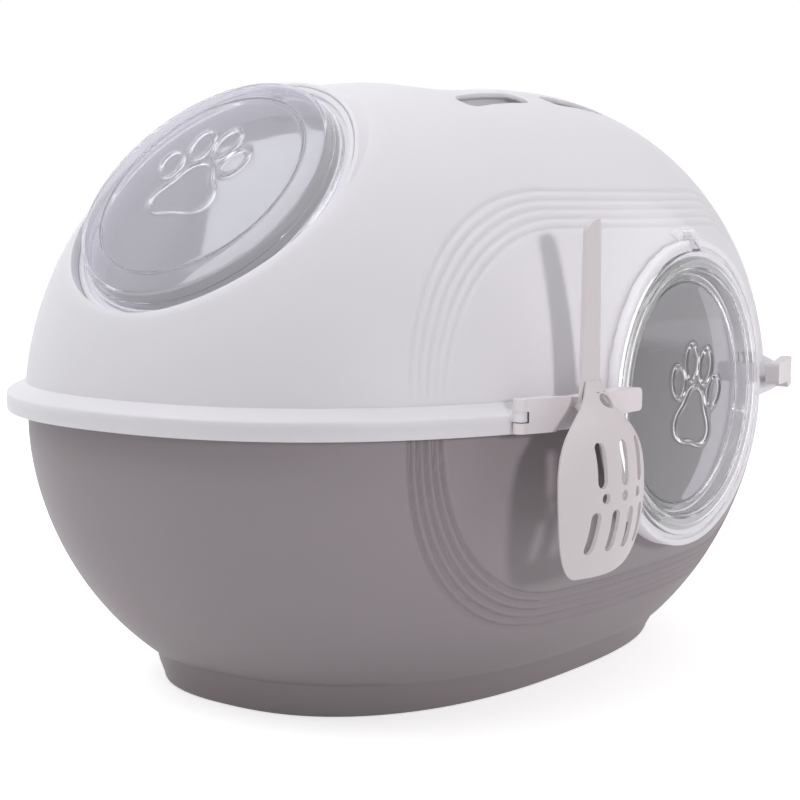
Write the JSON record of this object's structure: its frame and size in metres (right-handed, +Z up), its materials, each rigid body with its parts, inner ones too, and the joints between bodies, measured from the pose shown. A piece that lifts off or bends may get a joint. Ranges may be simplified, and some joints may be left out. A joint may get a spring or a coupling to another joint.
{
  "type": "hooded cat litter box",
  "caption": "Egg-shaped cat litter box: deep tray, lift-off domed hood with a round entry and a round roof window under clear lids, side latches and a hanging scoop.",
  "frame": {"origin": "centre of the tray's flat foot, on the floor", "axes": "+X the long way, to the right seen from the entry side; +Y from the entry to the back; +Z up"},
  "size_m": [0.6759, 0.5203, 0.4354],
  "materials": {
    "tray_grey": "satin",
    "hood_white": "satin",
    "scoop_white": "satin",
    "lid_clear": "smoky clear, polished",
    "pin_plastic": "satin"
  },
  "bodies": {
    "tray": {"tray": "tray_grey"},
    "hood": {"hood": "hood_white", "entry_frame": "hood_white", "window_frame": "hood_white", "entry_lid_pin": "pin_plastic", "window_lid_pin": "pin_plastic", "latch_right_pin": "pin_plastic", "latch_left_pin": "pin_plastic", "handle_pin_right": "pin_plastic", "handle_pin_left": "pin_plastic"},
    "entry_lid": {"entry_lid": "lid_clear"},
    "window_lid": {"window_lid": "lid_clear"},
    "latch_right": {"latch_right": "hood_white"},
    "latch_left": {"latch_left": "hood_white"},
    "scoop": {"scoop": "scoop_white"},
    "carry_handle": {"carry_handle": "hood_white"}
  },
  "joints": [
    {"name": "hood_lift", "type": "slide", "parent": "tray", "child": "hood", "axis": [0, 0, 1], "range_m": [0, 0.15]},
    {"name": "entry_lid_swing", "type": "hinge", "parent": "hood", "child": "entry_lid", "pos_m": [0, -0.2312, 0.3271], "axis": [-1, 0, 0], "range_deg": [0, 95]},
    {"name": "window_lid_swing", "type": "hinge", "parent": "hood", "child": "window_lid", "pos_m": [-0.14984, 0, 0.42731], "axis": [0, 1, 0], "range_deg": [0, 105]},
    {"name": "latch_right_turn", "type": "hinge", "parent": "hood", "child": "latch_right", "pos_m": [0.1895, -0.22145, 0.2166], "axis": [0, 0, 1], "range_deg": [0, 75]},
    {"name": "latch_left_turn", "type": "hinge", "parent": "hood", "child": "latch_left", "pos_m": [-0.1895, -0.22145, 0.2166], "axis": [0, 0, -1], "range_deg": [0, 75]},
    {"name": "scoop_lift", "type": "slide", "parent": "latch_left", "child": "scoop", "axis": [0, -0.7071, 0.7071], "range_m": [0, 0.05]},
    {"name": "carry_handle_turn", "type": "hinge", "parent": "hood", "child": "carry_handle", "pos_m": [0, 0, 0.4215], "axis": [-1, 0, 0], "range_deg": [0, 180]}
  ]
}
